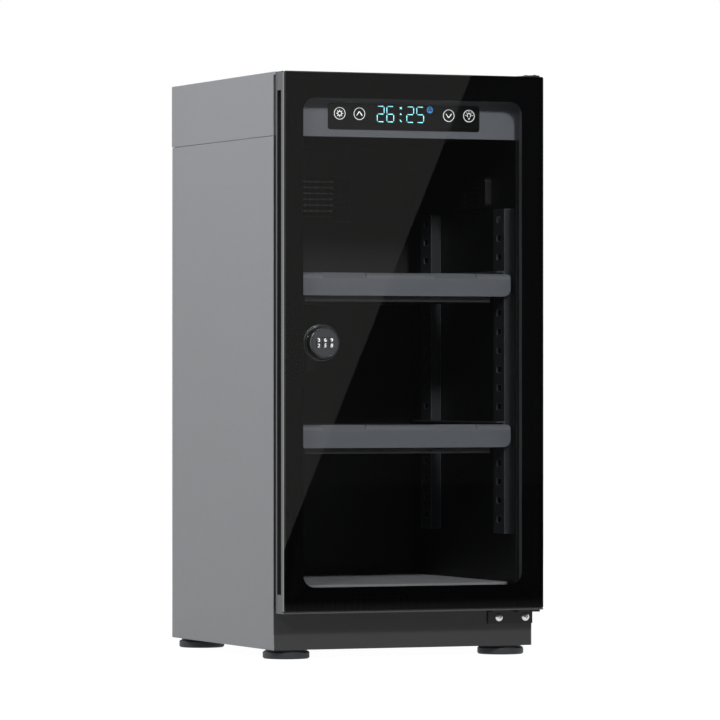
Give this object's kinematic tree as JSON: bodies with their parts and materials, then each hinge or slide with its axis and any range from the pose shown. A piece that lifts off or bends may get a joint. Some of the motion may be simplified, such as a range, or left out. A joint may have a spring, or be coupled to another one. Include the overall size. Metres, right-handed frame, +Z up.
{
  "type": "camera dry cabinet",
  "caption": "Upright electronic dry cabinet for cameras: grey steel body, glass door with a handle groove and a combination lock, pull-out shelves, display above the bay.",
  "frame": {"origin": "middle of the base, on the surface under the feet, halfway between the front of the lock and the back of the rear cover", "axes": "+X to the right seen from the front, where the hinges are; +Y from the door to the back; +Z up"},
  "size_m": [0.316, 0.3894, 0.6592],
  "materials": {
    "body_paint": "satin powder coat",
    "black_paint": "black powder coat",
    "lining": "black paint",
    "fascia": "fine satin moulding",
    "display": "black display window",
    "black_plastic": "black moulding",
    "aluminium": "satin anodised",
    "heat_sink_metal": "plain extrusion",
    "bright_steel": "bright plated",
    "zinc_steel": "zinc plated",
    "black_steel": "black zinc plate",
    "white_print": "white print of numbers",
    "light_segments": "lit segments of the display",
    "lock_black": "glossy black",
    "rubber": "matt black rubber",
    "mat": "light grey foam mat",
    "shelf_foam": "black foam mat",
    "door_glass": "tempered glass",
    "print": "black print behind glass",
    "circuit_board": "solder mask",
    "ceramic": "white ceramic",
    "lamp_cover": "milky diffuser"
  },
  "bodies": {
    "cabinet": {"left_side_panel": "body_paint", "right_side_panel": "body_paint", "base_pan": "body_paint", "top_housing": "body_paint", "rear_panel": "body_paint", "plinth_panel": "black_paint", "front_frame": "black_paint", "inner_left_panel": "lining", "inner_right_panel": "lining", "inner_back_panel": "lining", "inner_floor_panel": "lining", "inner_ceiling_panel": "lining", "floor_mat": "mat", "left_uprights": "black_paint", "right_uprights": "black_paint", "lower_shelf_runners": "black_paint", "upper_shelf_runners": "black_paint", "control_fascia": "fascia", "display_module": "display", "control_board": "circuit_board", "power_module": "zinc_steel", "lamp_strip": "lamp_cover", "humidity_sensor": "black_plastic", "inner_vent_cover": "black_plastic", "cold_plate": "heat_sink_metal", "thermoelectric_module": "ceramic", "heat_sink": "heat_sink_metal", "rear_vent_cover": "black_plastic", "power_inlet": "black_plastic", "feet": "rubber", "foot_screws": "zinc_steel", "lower_hinge_bracket": "black_paint", "upper_hinge_bracket": "black_paint", "hinge_pins": "black_steel", "hinge_screws": "bright_steel"},
    "door": {"door_glass": "door_glass", "glass_border": "print", "handle_profile": "aluminium", "handle_end_caps": "aluminium", "hinge_side_profile": "aluminium", "top_rail": "aluminium", "bottom_rail": "aluminium", "door_inner_frame": "black_plastic", "door_gasket": "rubber", "hinge_bushes": "black_plastic", "lock_bezel": "lock_black", "lock_nut": "zinc_steel"},
    "lock": {"lock_knob": "lock_black", "wheel_axle": "zinc_steel", "lock_spindle": "zinc_steel", "lock_cam": "zinc_steel"},
    "wheel_1": {"number_wheel_1": "lock_black"},
    "wheel_2": {"number_wheel_2": "lock_black"},
    "wheel_3": {"number_wheel_3": "lock_black"},
    "lower_shelf": {"lower_shelf_tray": "black_paint", "lower_shelf_front": "fascia", "lower_shelf_mat": "shelf_foam"},
    "upper_shelf": {"upper_shelf_tray": "black_paint", "upper_shelf_front": "fascia", "upper_shelf_mat": "shelf_foam"}
  },
  "joints": [
    {"name": "door_hinge", "type": "hinge", "parent": "cabinet", "child": "door", "pos_m": [0.153, -0.17205, 0.0521], "axis": [0, 0, 1], "range_deg": [0, 110]},
    {"name": "lower_shelf_slide", "type": "slide", "parent": "cabinet", "child": "lower_shelf", "axis": [0, -1, 0], "range_m": [0, 0.125]},
    {"name": "upper_shelf_slide", "type": "slide", "parent": "cabinet", "child": "upper_shelf", "axis": [0, -1, 0], "range_m": [0, 0.125]},
    {"name": "lock_knob_turn", "type": "hinge", "parent": "door", "child": "lock", "pos_m": [-0.1123, -0.18455, 0.3532], "axis": [0, 1, 0], "range_deg": [0, 90]},
    {"name": "number_wheel_1_spin", "type": "hinge", "parent": "lock", "child": "wheel_1", "pos_m": [-0.1201, -0.18455, 0.3532], "axis": [1, 0, 0], "continuous": true},
    {"name": "number_wheel_2_spin", "type": "hinge", "parent": "lock", "child": "wheel_2", "pos_m": [-0.1123, -0.18455, 0.3532], "axis": [1, 0, 0], "continuous": true},
    {"name": "number_wheel_3_spin", "type": "hinge", "parent": "lock", "child": "wheel_3", "pos_m": [-0.1045, -0.18455, 0.3532], "axis": [1, 0, 0], "continuous": true}
  ],
  "couplings": [
    {"joint": "lower_shelf_slide", "follows": "door_hinge", "m_per_rad": 0.065},
    {"joint": "upper_shelf_slide", "follows": "door_hinge", "m_per_rad": 0.065}
  ]
}
